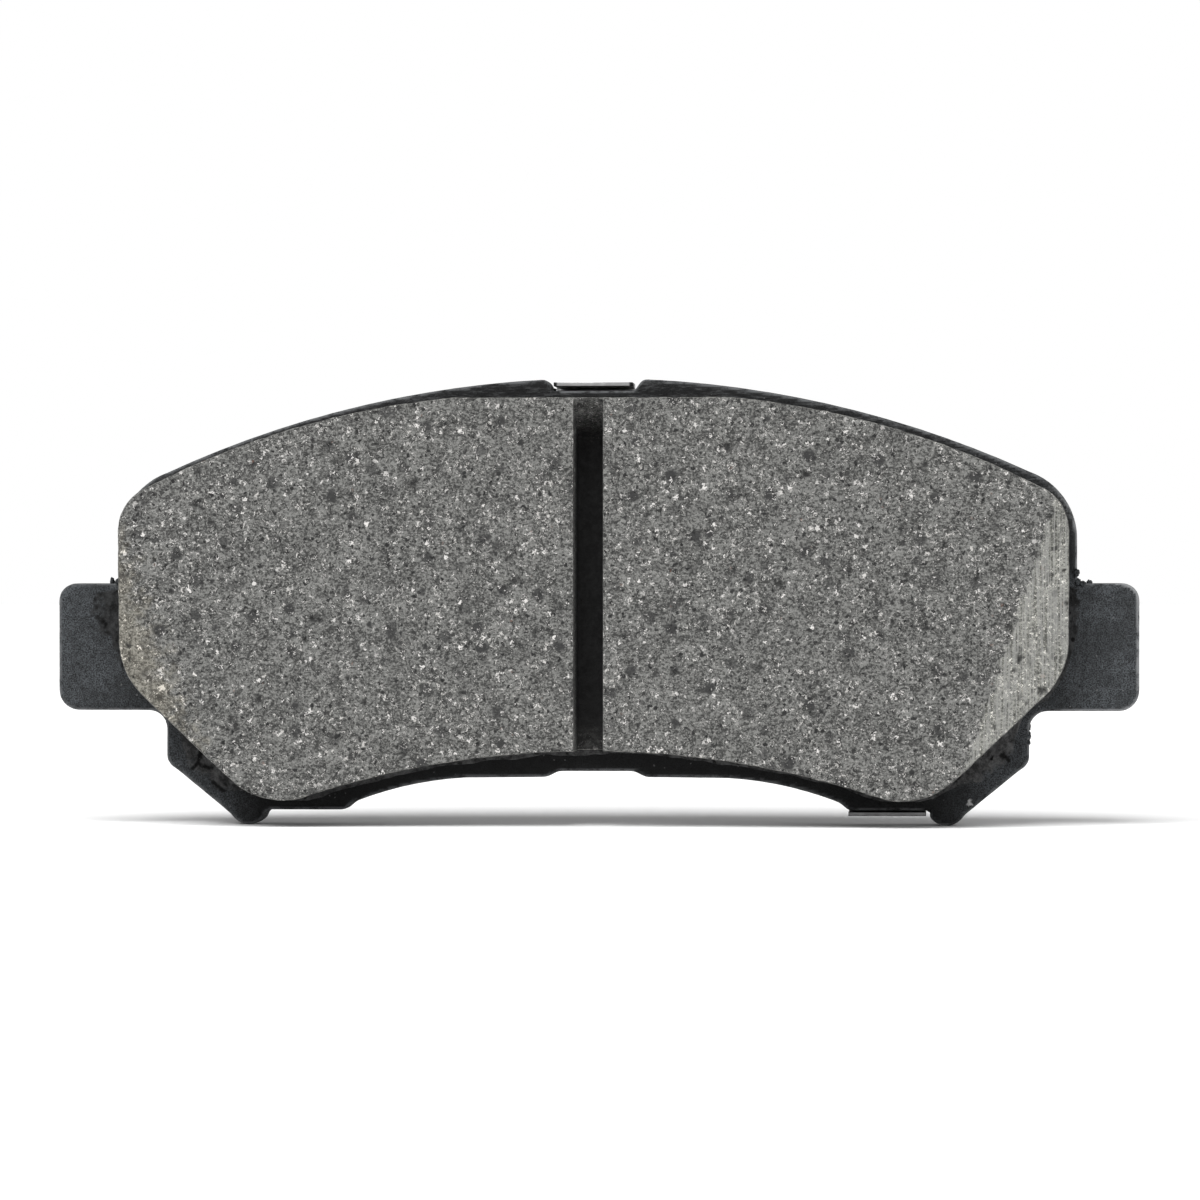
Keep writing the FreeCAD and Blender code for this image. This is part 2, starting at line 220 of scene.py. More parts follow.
def even_outline(outline, step):
    """The outline resampled at even steps, anticlockwise as seen from the front."""
    if signed_area(outline) < 0:
        outline = outline[::-1]
    closed = np.vstack([outline, outline[:1]])
    lengths = np.linalg.norm(np.diff(closed, axis=0), axis=1)
    along = np.concatenate([[0], np.cumsum(lengths)])
    count = int(along[-1] / step)
    places = np.arange(count) * along[-1] / count
    return np.stack([np.interp(places, along, closed[:, k]) for k in (0, 1)], axis=1)


def outward_normals(ring):
    """Unit outward normals of an anticlockwise ring, softened over a few neighbours."""
    along = sum(np.roll(ring, -k, axis=0) - np.roll(ring, k, axis=0) for k in (1, 2, 3))
    along /= np.linalg.norm(along, axis=1, keepdims=True)
    return np.stack([along[:, 1], -along[:, 0]], axis=1)


# ---------------------------------------------------------------- node materials
class Paint:
    """A node material under construction; coordinates are object coordinates in millimetres."""

    def __init__(self, name):
        self.material = bpy.data.materials.new(name)
        self.material.use_nodes = True
        self.tree = self.material.node_tree
        self.shader = self.tree.nodes["Principled BSDF"]
        where = self.tree.nodes.new("ShaderNodeTexCoord")
        self.mm = self.vector_math("SCALE", where.outputs["Object"], scale=1 / MM)

    def put(self, socket, value):
        if isinstance(value, bpy.types.NodeSocket):
            self.tree.links.new(value, socket)
        else:
            socket.default_value = value

    def vector_math(self, operation, a, b=None, scale=None):
        node = self.tree.nodes.new("ShaderNodeVectorMath")
        node.operation = operation
        self.put(node.inputs[0], a)
        if b is not None:
            self.put(node.inputs[1], b)
        if scale is not None:
            self.put(node.inputs["Scale"], scale)
        return node.outputs[0]

    def stretch(self, factors, coordinates=None):
        return self.vector_math("MULTIPLY", coordinates or self.mm, factors)

    def math(self, operation, a, b=0.0):
        node = self.tree.nodes.new("ShaderNodeMath")
        node.operation = operation
        self.put(node.inputs[0], a)
        self.put(node.inputs[1], b)
        return node.outputs[0]

    def noise(self, scale, detail, roughness, coordinates=None, distortion=0.0):
        node = self.tree.nodes.new("ShaderNodeTexNoise")
        self.put(node.inputs["Vector"], coordinates or self.mm)
        node.inputs["Scale"].default_value = scale
        node.inputs["Detail"].default_value = detail
        node.inputs["Roughness"].default_value = roughness
        node.inputs["Distortion"].default_value = distortion
        return node.outputs["Fac"]

    def cells(self, scale, coordinates):
        """Distance to the nearest cell centre, in cells, and three random numbers of that cell."""
        node = self.tree.nodes.new("ShaderNodeTexVoronoi")
        self.put(node.inputs["Vector"], coordinates)
        node.inputs["Scale"].default_value = scale
        split = self.tree.nodes.new("ShaderNodeSeparateColor")
        self.tree.links.new(node.outputs["Color"], split.inputs[0])
        return node.outputs["Distance"], split.outputs[0], split.outputs[1], split.outputs[2]

    def ramp(self, value, low, high, bottom=0.0, top=1.0):
        node = self.tree.nodes.new("ShaderNodeMapRange")
        node.interpolation_type = "SMOOTHSTEP"
        self.put(node.inputs["Value"], value)
        self.put(node.inputs["From Min"], low)
        self.put(node.inputs["From Max"], high)
        self.put(node.inputs["To Min"], bottom)
        self.put(node.inputs["To Max"], top)
        return node.outputs["Result"]

    def mix(self, factor, a, b, blend="MIX"):
        node = self.tree.nodes.new("ShaderNodeMix")
        node.data_type = "RGBA"
        node.blend_type = blend
        self.put(node.inputs[0], factor)
        self.put(node.inputs[6], a)
        self.put(node.inputs[7], b)
        return node.outputs[2]

    def distance_to(self, point, coordinates):
        """Distance in millimetres from the coordinates to a fixed point."""
        node = self.tree.nodes.new("ShaderNodeVectorMath")
        node.operation = "DISTANCE"
        self.put(node.inputs[0], coordinates)
        self.put(node.inputs[1], point)
        return node.outputs["Value"]

    def axes(self, coordinates):
        """The three coordinates apart, as sockets named X, Y and Z."""
        node = self.tree.nodes.new("ShaderNodeSeparateXYZ")
        self.put(node.inputs[0], coordinates)
        return node.outputs

    def attribute(self, name):
        node = self.tree.nodes.new("ShaderNodeAttribute")
        node.attribute_name = name
        return node.outputs["Fac"]

    def warped(self, scale, amount):
        """Coordinates pushed about by noise, for ragged edges."""
        node = self.tree.nodes.new("ShaderNodeTexNoise")
        self.tree.links.new(self.mm, node.inputs["Vector"])
        node.inputs["Scale"].default_value = scale
        node.inputs["Detail"].default_value = 2.0
        push = self.vector_math("SUBTRACT", node.outputs["Color"], (0.5, 0.5, 0.5))
        push = self.vector_math("SCALE", push, scale=amount)
        return self.vector_math("ADD", self.mm, push)

    def bump(self, height, distance, strength):
        node = self.tree.nodes.new("ShaderNodeBump")
        node.inputs["Strength"].default_value = strength
        node.inputs["Distance"].default_value = distance
        self.put(node.inputs["Height"], height)
        self.put(self.shader.inputs["Normal"], node.outputs["Normal"])

    def finish(self, **values):
        for name, value in values.items():
            self.put(self.shader.inputs[name.replace("_", " ").title().replace("Ior", "IOR")], value)
        return self.material


def grey(value, warm=0.0):
    return (value * (1 + warm), value, value * (1 - warm), 1.0)


def olive(value, green=0.0):
    """A grey with a little less blue, and less red by the share given."""
    return (value * (1 - green), value, value * 0.955, 1.0)


def spots(paint, scale, share, size, coordinates, softness):
    """Mask of scattered spots of uneven strength, in a share of the cells of a grid."""
    distance, pick, vary, other = paint.cells(scale, coordinates)
    chosen = paint.math("LESS_THAN", pick, share)
    radius = paint.ramp(vary, 0.0, 1.0, size * 0.5, size * 1.25)
    inner = paint.math("MULTIPLY", radius, 1 - softness)
    filled = paint.ramp(distance, inner, radius, 1.0, 0.0)
    strength = paint.ramp(other, 0.0, 1.0, 0.45, 1.0)
    return paint.math("MULTIPLY", paint.math("MULTIPLY", chosen, filled), strength)


def friction_material():
    """Ground friction composite: grey binder with dark rubber and coke grains and pale flakes."""
    paint = Paint("friction_composite")
    bent = paint.warped(0.9, 0.75)
    ragged = paint.warped(2.6, 0.75)
    # binder: fine crisp grains and grit, with short fibres lying across the pad
    fine_grain = paint.cells(3.8, ragged)[1]
    grit = paint.ramp(paint.noise(3.8, 2.0, 0.8), 0.30, 0.70)
    fibre = paint.noise(1.0, 2.0, 0.7, paint.stretch((1.6, 4.0, 5.0), paint.warped(0.5, 0.8)))
    fibre = paint.ramp(fibre, 0.30, 0.70)
    tone = paint.ramp(paint.noise(0.30, 3.0, 0.6), 0.3, 0.7, -0.07, 0.07)
    for share, layer in ((0.40, fine_grain), (0.36, grit), (0.24, fibre)):
        tone = paint.math("ADD", tone, paint.math("MULTIPLY", layer, share))
    tone = paint.ramp(tone, 0.24, 0.78)
    colour = paint.mix(tone, olive(0.025), olive(0.146))
    # dark grains from coarse to fine; scale is in cells per millimetre and share is of all cells
    for scale, share, size, soft, strength, shade in ((0.42, 0.50, 0.36, 0.50, 0.95, 0.020),
                                                      (0.75, 0.36, 0.36, 0.40, 1.0, 0.014),
                                                      (1.25, 0.32, 0.36, 0.35, 1.0, 0.009),
                                                      (2.3, 0.22, 0.38, 0.30, 1.0, 0.005)):
        grains = spots(paint, scale, share, size, bent if scale < 1 else ragged, soft)
        colour = paint.mix(paint.math("MULTIPLY", grains, strength), colour, grey(shade))
    # pale flakes gather in clusters
    cluster = paint.ramp(paint.noise(0.28, 2.0, 0.5), 0.35, 0.70, 0.045, -0.05)
    crushed = paint.math("SUBTRACT", paint.noise(1.7, 3.0, 0.75, ragged, 0.5), cluster)
    flakes = paint.ramp(crushed, 0.635, 0.655)
    colour = paint.mix(paint.math("MULTIPLY", flakes, 0.85), colour, olive(0.38, -0.03))
    shreds = paint.noise(1.0, 2.0, 0.7, paint.stretch((1.8, 3.0, 5.2), ragged))
    shreds = paint.ramp(shreds, 0.685, 0.705)
    colour = paint.mix(paint.math("MULTIPLY", shreds, 0.7), colour, olive(0.36, -0.02))
    torn = paint.warped(3.4, 1.3)
    for scale, share, size in ((0.85, 0.09, 0.32), (1.7, 0.08, 0.38), (2.6, 0.13, 0.44)):
        chips = spots(paint, scale, share, size, torn, 0.4)
        colour = paint.mix(paint.math("MULTIPLY", chips, 0.95), colour, grey(0.50, 0.03))
    rust = spots(paint, 0.8, 0.05, 0.24, ragged, 0.6)
    colour = paint.mix(paint.math("MULTIPLY", rust, 0.5), colour, (0.13, 0.06, 0.04, 1))
    # the freshly ground chamfer is paler, with lines left by the wheel, and the lining's broken edge is
    # paler too as a painted highlight
    ground = paint.attribute("ground")
    lines = paint.noise(1.0, 2.0, 0.7, paint.stretch((5.2, 0.5, 0.10)))
    lifted = paint.mix(0.05, colour, olive(0.19))
    lifted = paint.mix(1.0, lifted, (1.46, 1.46, 1.38, 1.0), "MULTIPLY")
    pale = paint.mix(paint.ramp(lines, 0.40, 0.58, 0.0, 0.62), lifted, olive(0.238))
    colour = paint.mix(ground, colour, pale)
    worn = paint.attribute("worn")
    warmer = paint.mix(1.0, colour, (1.24, 1.20, 1.10, 1.0), "MULTIPLY")
    warmer = paint.mix(0.12, warmer, (0.215, 0.192, 0.150, 1.0))
    colour = paint.mix(worn, colour, warmer)
    # pits are darkened as painted shade, and the side walls and the slot carry the plate's black paint
    colour = paint.mix(paint.attribute("pit"), colour, grey(0.008))
    painted = paint.attribute("painted")
    soot = paint.mix(paint.ramp(paint.noise(1.4, 4.0, 0.7), 0.3, 0.7), grey(0.0015), grey(0.0095))
    colour = paint.mix(painted, colour, soot)
    relief = paint.math("ADD", paint.math("MULTIPLY", tone, 0.8), paint.math("MULTIPLY", flakes, 0.2))
    furrows = paint.math("MULTIPLY", paint.math("MULTIPLY", lines, ground), 0.5)
    relief = paint.math("ADD", relief, furrows)
    paint.bump(relief, 0.00010, 0.7)
    return paint.finish(base_color=colour, roughness=0.85, specular_ior_level=0.3)


def powder_coat():
    """Satin black coat, darker round the lining as painted shade and greyer on the ears and webs, with
    painted highlights along the upper rim and rounded edges, and dull and pitted over resin.
    """
    paint = Paint("powder_coat")
    peel = paint.noise(1.3, 3.0, 0.65)
    fine = paint.noise(5.6, 3.0, 0.8)
    place = paint.axes(paint.warped(0.25, 5.0))
    sideways = paint.math("ABSOLUTE", place["X"])
    # painted shade: the coat is darker round the lining and along the top, and greyer on the ears and
    # webs, most of all on the right ear
    middle = paint.ramp(sideways, 42.0, 49.0, 0.0, 0.82)
    outer = paint.ramp(sideways, 57.0, 64.0, 0.0, 0.18)
    right = paint.ramp(place["X"], 55.0, 66.0)
    outside_painted_shade = paint.math("ADD", middle, outer)
    outside_painted_shade = paint.math("ADD", outside_painted_shade, paint.math("MULTIPLY", right, 0.12))
    outside_painted_shade = paint.math("MULTIPLY", outside_painted_shade, paint.ramp(place["Z"], 1.0, 4.0, 1.0, 0.15))
    grain = paint.math("ADD", paint.math("MULTIPLY", fine, 0.8), paint.math("MULTIPLY", peel, 0.2))
    grain = paint.ramp(grain, 0.39, 0.61)
    coat_in_painted_shade = paint.mix(grain, grey(0.002), grey(0.014, -0.03))
    open_coat = paint.mix(grain, grey(0.004, -0.05), grey(0.077, -0.08))
    colour = paint.mix(outside_painted_shade, coat_in_painted_shade, open_coat)
    patch = paint.ramp(paint.noise(0.22, 3.0, 0.65), 0.38, 0.62, 0.0, 0.4)
    colour = paint.mix(patch, colour, grey(0.007, -0.02))
    # painted highlight in streaks along the upper rim, and a painted highlight on the rounded edges,
    # brightest on the right
    upper = paint.ramp(place["Z"], 4.0, 10.0)
    streak_highlight = paint.ramp(paint.noise(1.0, 3.0, 0.75, paint.stretch((0.6, 2.0, 4.5))), 0.50, 0.64)
    colour = paint.mix(paint.math("MULTIPLY", paint.math("MULTIPLY", streak_highlight, upper), 0.5),
                       colour, grey(0.070, -0.02))
    highlight_patches = paint.ramp(paint.noise(0.5, 4.0, 0.75), 0.34, 0.56)
    edge_highlight = paint.math("MULTIPLY", paint.attribute("edge"), highlight_patches)
    colour = paint.mix(edge_highlight, colour, paint.mix(right, grey(0.120, -0.03), grey(0.26, -0.02)))
    # resin squeezed out round the lining lies under the paint
    resin = paint.attribute("resin")
    lumps = paint.ramp(paint.noise(0.8, 4.0, 0.7), 0.35, 0.65)
    web = paint.ramp(place["Z"], -14.0, -10.0, 1.0, 0.0)
    crust = paint.mix(lumps, grey(0.005), grey(0.031, -0.02))
    crust = paint.mix(web, crust, paint.mix(lumps, grey(0.018), grey(0.078)))
    speckle = paint.mix(web, grey(0.035), grey(0.11))
    crust = paint.mix(paint.ramp(fine, 0.54, 0.70, 0.0, 0.5), crust, speckle)
    # holes in the crust are bumped in and darkened nearly black as painted shade
    hole = spots(paint, 0.8, 0.45, 0.34, paint.warped(1.5, 0.7), 0.4)
    crust = paint.mix(hole, crust, grey(0.001))
    colour = paint.mix(resin, colour, crust)
    # open cracks in the resin are darkened nearly black as painted shade
    colour = paint.mix(paint.attribute("crack"), colour, grey(0.0005))
    nick = paint.ramp(paint.distance_to(BARE_NICK, paint.warped(1.5, 1.6)), 0.25, 0.55, 1.0, 0.0)
    colour = paint.mix(nick, colour, grey(0.30))
    dust = spots(paint, 1.5, 0.12, 0.18, paint.warped(3.0, 0.3), 0.5)
    colour = paint.mix(paint.math("MULTIPLY", dust, 0.5), colour, grey(0.17))
    crust_relief = paint.math("MULTIPLY", paint.math("SUBTRACT", lumps, hole), resin)
    relief = paint.math("ADD", paint.math("MULTIPLY", peel, 0.35), paint.math("MULTIPLY", fine, 0.5))
    relief = paint.math("ADD", relief, paint.math("MULTIPLY", crust_relief, 0.35))
    paint.bump(relief, 0.00034, 1.0)
    roughness = paint.ramp(fine, 0.3, 0.7, 0.36, 0.58)
    roughness = paint.mix(resin, roughness, grey(0.68))
    return paint.finish(base_color=colour, roughness=roughness, specular_ior_level=0.13)


def moulded_foot():
    """Cured resin and friction dust under a thin spray of black."""
    paint = Paint("moulded_underlayer")
    grain = paint.noise(1.5, 4.0, 0.7)
    colour = paint.mix(grain, grey(0.006), grey(0.03, 0.04))
    speck = spots(paint, 1.8, 0.12, 0.25, paint.warped(3.0, 0.4), 0.4)
    colour = paint.mix(paint.math("MULTIPLY", speck, 0.6), colour, grey(0.09, 0.08))
    paint.bump(grain, 0.00018, 0.9)
    return paint.finish(base_color=colour, roughness=0.72)


def rolled_steel(name, tone, rough, tabs_darkened=False):
    """Cold rolled sheet with its grain along X and faint handling marks."""
    paint = Paint(name)
    roll = paint.noise(1.0, 4.0, 0.7, paint.stretch((0.25, 1.0, 9.0)))
    cloud = paint.noise(0.08, 3.0, 0.6)
    colour = paint.mix(paint.ramp(roll, 0.3, 0.7), grey(tone * 0.86), grey(tone * 1.06))
    colour = paint.mix(paint.ramp(cloud, 0.35, 0.7, 0.0, 0.25), colour, grey(tone * 0.8, 0.01))
    scratch = paint.noise(1.0, 2.0, 0.5, paint.stretch((0.35, 1.0, 5.0), paint.warped(0.05, 9.0)))
    fine = paint.ramp(scratch, 0.70, 0.74, 0.0, 0.5)
    colour = paint.mix(fine, colour, grey(tone * 1.15))
    if tabs_darkened:
        colour = tab_darkening_and_shade(paint, colour)
    paint.bump(paint.math("ADD", paint.math("MULTIPLY", roll, 0.7), paint.math("MULTIPLY", fine, 0.3)),
               0.00002, 0.5)
    roughness = paint.math("ADD", paint.ramp(cloud, 0.3, 0.7, rough - 0.05, rough + 0.08),
                           paint.ramp(roll, 0.3, 0.7, -0.03, 0.03))
    return paint.finish(base_color=colour, roughness=roughness, metallic=1.0)


def tab_darkening_and_shade(paint, colour):
    """Darkens both tabs that hook over the plate, most of all the lower one, as painted shade, and the
    upper one's ends.
    """
    place = paint.axes(paint.mm)
    forward = paint.ramp(place["Y"], -1.5, -0.8, 1.0, 0.0)
    below = paint.ramp(place["Z"], -28.6, -26.0, 1.0, 0.0)
    mottle = paint.ramp(paint.noise(0.9, 4.0, 0.75), 0.32, 0.66, 0.45, 0.9)
    upper = paint.mix(mottle, grey(0.40), grey(0.20))
    # the lower tab's darker colours are painted shade
    lower_shade = paint.mix(mottle, grey(0.16), grey(0.05))
    darkening = paint.mix(below, upper, lower_shade)
    colour = paint.mix(paint.math("MULTIPLY", forward, 0.9), colour, darkening)
    middle = (TOP_TAB[0] + TOP_TAB[1]) / 2
    half = (TOP_TAB[1] - TOP_TAB[0]) / 2
    aside = paint.math("ABSOLUTE", paint.math("SUBTRACT", place["X"], middle))
    end = paint.ramp(aside, half - 0.55, half - 0.30)
    above = paint.math("GREATER_THAN", place["Z"], 20.0)
    end = paint.math("MULTIPLY", paint.math("MULTIPLY", end, above), forward)
    return paint.mix(end, colour, grey(0.015))


def rubber_coat():
    """Matt black rubber, baked on the steel of the damping shim."""
    paint = Paint("shim_rubber_coat")
    fine = paint.noise(5.0, 3.0, 0.6)
    cloud = paint.noise(0.2, 2.0, 0.5)
    colour = paint.mix(cloud, grey(0.014), grey(0.022))
    paint.bump(fine, 0.00003, 0.6)
    return paint.finish(base_color=colour, roughness=0.58)


def cured_adhesive(name, low, high):
    """Hardened adhesive with a fine grain between two colours."""
    paint = Paint(name)
    grain = paint.noise(2.0, 3.0, 0.6)
    colour = paint.mix(grain, low, high)
    paint.bump(grain, 0.00004, 0.6)
    return paint.finish(base_color=colour, roughness=0.5)


# ---------------------------------------------------------------- friction lining
def slot_edges():
    """Left and right edge of the slot's mouth in the friction face."""
    near_middle = 5 * MM
    xs = [v.co.x for v in NODES["friction_lining"].data.vertices
          if abs(v.co.y - FRICTION_Y) < WELD_DISTANCE and abs(v.co.x) < near_middle]
    return min(xs), max(xs)


def column_places(left, right, slot_left, slot_right):
    """X of each grid column, closer at the lining's ends and on the slot's two walls."""
    columns_each_side = 190
    bend = 0.55
    beside_slot = 0.02 * MM
    t = np.linspace(0, 1, columns_each_side)
    from_left = (1 - bend) * t + bend * (1 - np.cos(t * math.pi / 2))
    to_right = (1 - bend) * t + bend * np.sin(t * math.pi / 2)
    left_block = left + (slot_left - beside_slot - left) * from_left
    right_start = slot_right + beside_slot
    right_block = right_start + (right - right_start) * to_right
    walls = np.linspace(0.01, 1, 7) * SLOT_WALL
    floor = np.linspace(slot_left + SLOT_WALL, slot_right - SLOT_WALL, 30)[1:-1]
    return np.concatenate([left_block, slot_left + walls, floor, slot_right - walls[::-1], right_block])


def worn_corner(x, z):
    """Whether a point lies at the lower left corner of the lining."""
    return z < -12 * MM and x < -30 * MM and x + z < -60 * MM


def add_pits(xs, zs, ys, pit, seed, count, radii, depths, region=None):
    """Sinks small ragged pits into the surface and marks them for painted shade; radii and depths in
    millimetres.
    """
    rng = np.random.default_rng(seed)
    for _ in range(count):
        x = rng.uniform(LINING_LOW.x, LINING_HIGH.x)
        z = rng.uniform(LINING_LOW.z, LINING_HIGH.z)
        if region and not region(x, z):
            continue
        radius = rng.uniform(*radii) * MM
        depth = rng.uniform(*depths) * MM
        stretch = rng.uniform(0.6, 1.6)
        turn = rng.uniform(0, math.pi)
        dx = xs - x
        dz = zs - z
        near = (np.abs(dx) < 2.5 * radius) & (np.abs(dz) < 2.5 * radius)
        if not near.any():
            continue
        a = (dx[near] * math.cos(turn) + dz[near] * math.sin(turn)) * stretch
        b = (-dx[near] * math.sin(turn) + dz[near] * math.cos(turn)) / stretch
        angle = np.arctan2(b, a)
        edge = radius * (1 + 0.25 * np.sin(3 * angle + turn) + 0.15 * np.sin(5 * angle - turn))
        inside = 1 - smooth_step(np.hypot(a, b), 0.45 * edge, edge)
        ys[near] += depth * inside
        pit[near] = np.maximum(pit[near], inside)


def chamfer_depth(xs, zs, depth, side):
    """Depth below the friction face of the chamfer's plane at every grid point, also off its edge."""
    cut = side & (depth > 0.12 * MM)
    plane = np.stack([xs[cut], zs[cut], np.ones(cut.sum())], axis=1)
    slope_x, slope_z, level = np.linalg.lstsq(plane, depth[cut], rcond=None)[0]
    return slope_x * xs + slope_z * zs + level


def face_levels(outline, columns, v):
    """Level of the CAD lining's front under a grid inside the outline, and the grid's z limits."""
    margin = 0.01 * MM
    xs = np.clip(columns, outline[:, 0].min() + margin, outline[:, 0].max() - margin)
    low, high = heights_at(outline, xs)
    zs = low[:, None] + (high - low)[:, None] * v[None, :]
    tree = BVHTree.FromObject(NODES["friction_lining"], bpy.context.evaluated_depsgraph_get())
    in_front = FRICTION_Y - 10 * MM
    levels = np.full(zs.shape, FRICTION_Y)
    for (i, j), z in np.ndenumerate(zs):
        hit = tree.ray_cast(Vector((xs[i], in_front, z)), Vector((0, 1, 0)))
        if hit[0]:
            levels[i, j] = hit[0].y
    return levels, low, high


def friction_lining():
    """The lining's worn face as a grid over the CAD face, with walls that run down to the underlayer."""
    base = even_outline(outline_at("adhesive_film", FILM_FRONT_Y), 0.5 * MM)
    rim = inset(base, RIM_INSET)
    slot_left, slot_right = slot_edges()
    margin = 0.01 * MM
    left = rim[:, 0].min() + margin
    right = rim[:, 0].max() - margin
    columns = column_places(left, right, slot_left, slot_right)
    rows = 150
    low, high = heights_at(rim, columns)
    v = np.linspace(0, 1, rows)
    xs = np.repeat(columns[:, None], rows, axis=1)
    zs = low[:, None] + (high - low)[:, None] * v[None, :]

    # levels of the face, read just inside the drafted side walls
    ys, probe_low, probe_high = face_levels(inset(base, PROBE_INSET), columns, v)
    depth = ys - FRICTION_Y

    in_slot = (xs > slot_left) & (xs < slot_right)
    top_bare = 1 - smooth_step(probe_high[:, None] - zs, 0.0, 6 * MM)
    bottom_bare = 1 - smooth_step(zs - probe_low[:, None], 0.0, 4 * MM)
    reach = 1 - 0.60 * top_bare - 0.2 * bottom_bare
    painted = np.where(in_slot, smooth_step(depth, 1.2 * MM, 7.0 * MM) * reach, 0.0)

    rough = np.zeros_like(xs)
    ragged = np.zeros_like(xs)
    for (i, j), x in np.ndenumerate(xs):
        rough[i, j] = layer_noise(x, zs[i, j], 0.9, 3.0, 3, 0.6)
        ragged[i, j] = layer_noise(x, zs[i, j], 0.6, 9.0, 4, 0.7)
    slope = smooth_step(depth, 0.0, 0.25 * MM)
    right_fall = chamfer_depth(xs, zs, depth, (xs > 0) & ~in_slot) / MM
    left_fall = chamfer_depth(xs, zs, depth, (xs < 0) & ~in_slot) / MM
    ground = np.where(xs > 0, smooth_step(right_fall + 0.22 * ragged, 0.0, 0.12), 0.0)
    worn = np.where(xs < 0, smooth_step(left_fall + 0.5 * ragged, -0.3, 0.7), 0.0)
    ys += rough * 0.022 * MM * (1 - 0.6 * slope)
    pit = np.zeros_like(xs)
    add_pits(xs, zs, ys, pit, seed=5, count=260, radii=(0.22, 0.42), depths=(0.08, 0.22))
    add_pits(xs, zs, ys, pit, seed=6, count=34, radii=(0.4, 0.75), depths=(0.15, 0.35))
    add_pits(xs, zs, ys, pit, seed=7, count=160, radii=(0.25, 0.6), depths=(0.15, 0.4),
             region=worn_corner)
    pit *= 1 - in_slot

    # the grid's rim, anticlockwise as seen from the front
    n = len(columns)
    ring = [(i, 0) for i in range(n)] + [(n - 1, j) for j in range(1, rows)]
    ring += [(i, rows - 1) for i in range(n - 2, -1, -1)] + [(0, j) for j in range(rows - 2, 0, -1)]
    ring_i, ring_j = np.array(ring).T
    ring_points = np.stack([xs[ring_i, ring_j], zs[ring_i, ring_j]], axis=1)
    normals = outward_normals(ring_points)
    top_y = ys[ring_i, ring_j]

    vertices = [(xs[i, j], ys[i, j], zs[i, j]) for i in range(n) for j in range(rows)]
    attributes = {"painted": list(painted.ravel()), "pit": list(pit.ravel() * 0.85),
                  "ground": list(ground.ravel()), "worn": list(worn.ravel())}
    faces = []
    for i in range(n - 1):
        for j in range(rows - 1):
            a = i * rows + j
            faces.append((a, a + rows, a + rows + 1, a + 1))

    # side walls: an edge broken in two steps, out and down, then a draft out to the underlayer
    steps = [(0.06 * MM, 0.12 * MM), (0.12 * MM, 0.30 * MM)]
    break_out, break_down = steps[-1]
    wall_rows = 13
    last = len(steps) + wall_rows - 1
    previous = [i * rows + j for i, j in ring]
    for k in range(last + 1):
        here = []
        for m, (x, z) in enumerate(ring_points):
            if k < len(steps):
                out = steps[k][0]
                y = top_y[m] + steps[k][1]
            else:
                t = (k - 1) / wall_rows
                out = break_out * (1 - t) + RIM_INSET * t
                start = top_y[m] + break_down
                y = start + (UNDERLAYER_FRONT_Y - start) * t
            if k < last:
                out += fractal(x / MM * 0.7, y / MM * 0.7, z / MM * 0.7, 3, 0.6) * 0.05 * MM
            here.append(len(vertices))
            vertices.append((x + normals[m, 0] * out, y, z + normals[m, 1] * out))
            chip = 0.1 + 0.9 * layer_noise(x, z, 0.5, 40.0, 3, 0.6)
            attributes["painted"].append(min(1.0, max(0.0, 0.35 * k + chip)))
            attributes["pit"].append(0.0)
            # the broken edge's two steps take the chamfer's paler colour as a painted highlight
            attributes["ground"].append(0.6 if k < len(steps) else 0.0)
            attributes["worn"].append(0.0)
        faces += strip(previous, here)
        previous = here
    faces.append(tuple(previous))
    piece = make_object("friction_block", vertices, faces, "pad", 50.0)
    for name, values in attributes.items():
        float_attribute(piece, name, values)
    set_material(piece, friction_material())
    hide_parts("friction_lining")


def underlayer():
    """The moulded foot under the lining: rough side walls that run flush into it."""
    ring = even_outline(outline_at("adhesive_film", FILM_FRONT_Y), 0.45 * MM)
    normals = outward_normals(ring)
    levels = np.linspace(UNDERLAYER_FRONT_Y, FILM_FRONT_Y, 8)
    vertices = []
    faces = []
    previous = None
    for y in levels:
        here = range(len(vertices), len(vertices) + len(ring))
        for m, (x, z) in enumerate(ring):
            lumps = fractal(x / MM * 0.8, y / MM * 0.8, z / MM * 0.8, 4, 0.6) * 0.07 * MM
            if y == UNDERLAYER_FRONT_Y:
                lumps = 0.0
            vertices.append((x + normals[m, 0] * lumps, y, z + normals[m, 1] * lumps))
        faces += strip(previous, here) if previous else [tuple(here)]
        previous = here
    faces.append(tuple(previous))
    piece = make_object("moulded_underlayer", vertices, faces, "pad", 50.0)
    set_material(piece, moulded_foot())
    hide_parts("underlayer")


